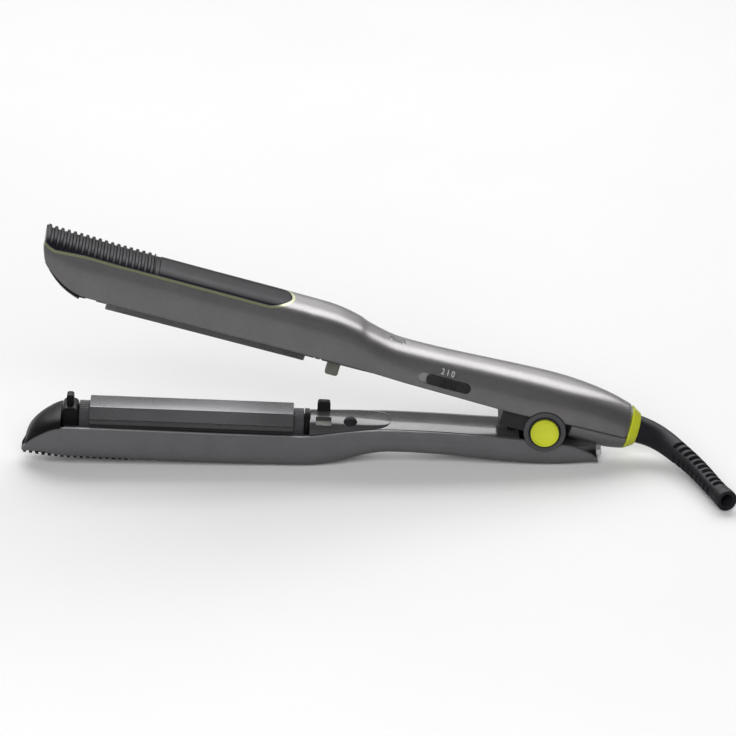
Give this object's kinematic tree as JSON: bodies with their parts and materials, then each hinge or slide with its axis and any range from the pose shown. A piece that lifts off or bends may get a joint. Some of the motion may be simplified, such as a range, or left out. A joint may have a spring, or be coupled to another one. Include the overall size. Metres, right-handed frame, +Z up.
{
  "type": "rotating hair crimper",
  "caption": "Hinged hair crimper with turning three-faced heated barrels, ribbed grip pads, a sliding heat control and a swivelling cord guard.",
  "frame": {"origin": "on the table under the hinge pin, in the middle of the arms", "axes": "+X to the cord end, +Y away from the slider's side, +Z up"},
  "size_m": [0.3673, 0.0939, 0.1277],
  "materials": {
    "satin_shell": "satin metallic grey",
    "dark_gloss": "gloss",
    "dark_matt": "matt",
    "pad_black": "soft matt",
    "barrel_coat": "ceramic coated satin",
    "heater_body": "fired ceramic",
    "lime": "gloss",
    "steel": "brushed",
    "soft_rubber": "matt",
    "board_green": "solder mask",
    "lead_white": "sleeved",
    "lens_clear": "translucent",
    "lamp_red": "translucent",
    "pale_grey": "satin"
  },
  "bodies": {
    "lower_arm": {"lower_shell": "satin_shell", "lower_liner": "dark_matt", "lower_inner_cover": "dark_gloss", "lower_nose_cap": "dark_gloss", "lower_grip_pad": "pad_black", "lower_front_bearing": "dark_matt", "lower_rear_bearing": "dark_matt", "lower_bearing_cover": "dark_gloss", "lower_guide_tab": "dark_matt", "lower_bumper": "soft_rubber", "lower_hinge_block": "dark_matt", "cover_screw": "steel", "lower_leads": "lead_white", "hinge_spring": "steel"},
    "upper_arm": {"upper_shell": "satin_shell", "upper_liner": "dark_matt", "upper_inner_cover": "dark_gloss", "upper_nose_cap": "dark_gloss", "upper_grip_pad": "pad_black", "upper_front_bearing": "dark_matt", "upper_rear_bearing": "dark_matt", "upper_bearing_cover": "dark_gloss", "upper_guide_tab": "dark_matt", "upper_tail_cover": "satin_shell", "upper_leads": "lead_white", "hinge_yoke": "dark_matt", "hinge_pin": "steel", "hinge_cap_rings": "soft_rubber", "hinge_caps": "lime", "circuit_board": "board_green", "thermal_fuse": "heater_body", "slide_switch": "dark_matt", "indicator_led": "lamp_red", "indicator_lens": "lens_clear", "tail_collar": "lime"},
    "lower_rotor": {"lower_barrel": "barrel_coat", "lower_heater": "heater_body", "lower_front_collar": "dark_matt", "lower_rear_collar": "dark_matt"},
    "upper_rotor": {"upper_barrel": "barrel_coat", "upper_heater": "heater_body", "upper_front_collar": "dark_matt", "upper_rear_collar": "dark_matt"},
    "slider": {"temperature_slider": "dark_matt"},
    "cord_guard": {"swivel_core": "dark_matt", "strain_relief": "soft_rubber"},
    "lock": {"lock_slider": "pale_grey"}
  },
  "joints": [
    {"name": "jaw_hinge", "type": "hinge", "parent": "lower_arm", "child": "upper_arm", "pos_m": [0, 0, 0.0213], "axis": [0, -1, 0], "range_deg": [0, 13.4], "stiffness_Nm_per_rad": 0.8, "springref_deg": -45.84},
    {"name": "lower_barrel_turn", "type": "hinge", "parent": "lower_arm", "child": "lower_rotor", "pos_m": [-0.18164, 0, 0.02239], "axis": [0.999, 0, -0.0454], "range_deg": [-120, 120]},
    {"name": "upper_barrel_turn", "type": "hinge", "parent": "upper_arm", "child": "upper_rotor", "pos_m": [-0.17195, 0, 0.08012], "axis": [0.9613, 0, -0.2756], "range_deg": [-120, 120]},
    {"name": "temperature_slide", "type": "slide", "parent": "upper_arm", "child": "slider", "axis": [-0.9613, 0, 0.2756], "range_m": [0, 0.0042]},
    {"name": "cord_guard_swivel", "type": "hinge", "parent": "upper_arm", "child": "cord_guard", "pos_m": [0.04303, 0, 0.01718], "axis": [0.9613, 0, -0.2756], "continuous": true},
    {"name": "lock_slide", "type": "slide", "parent": "lower_arm", "child": "lock", "axis": [-0.999, 0, 0.0454], "range_m": [0, 0.0025]}
  ]
}
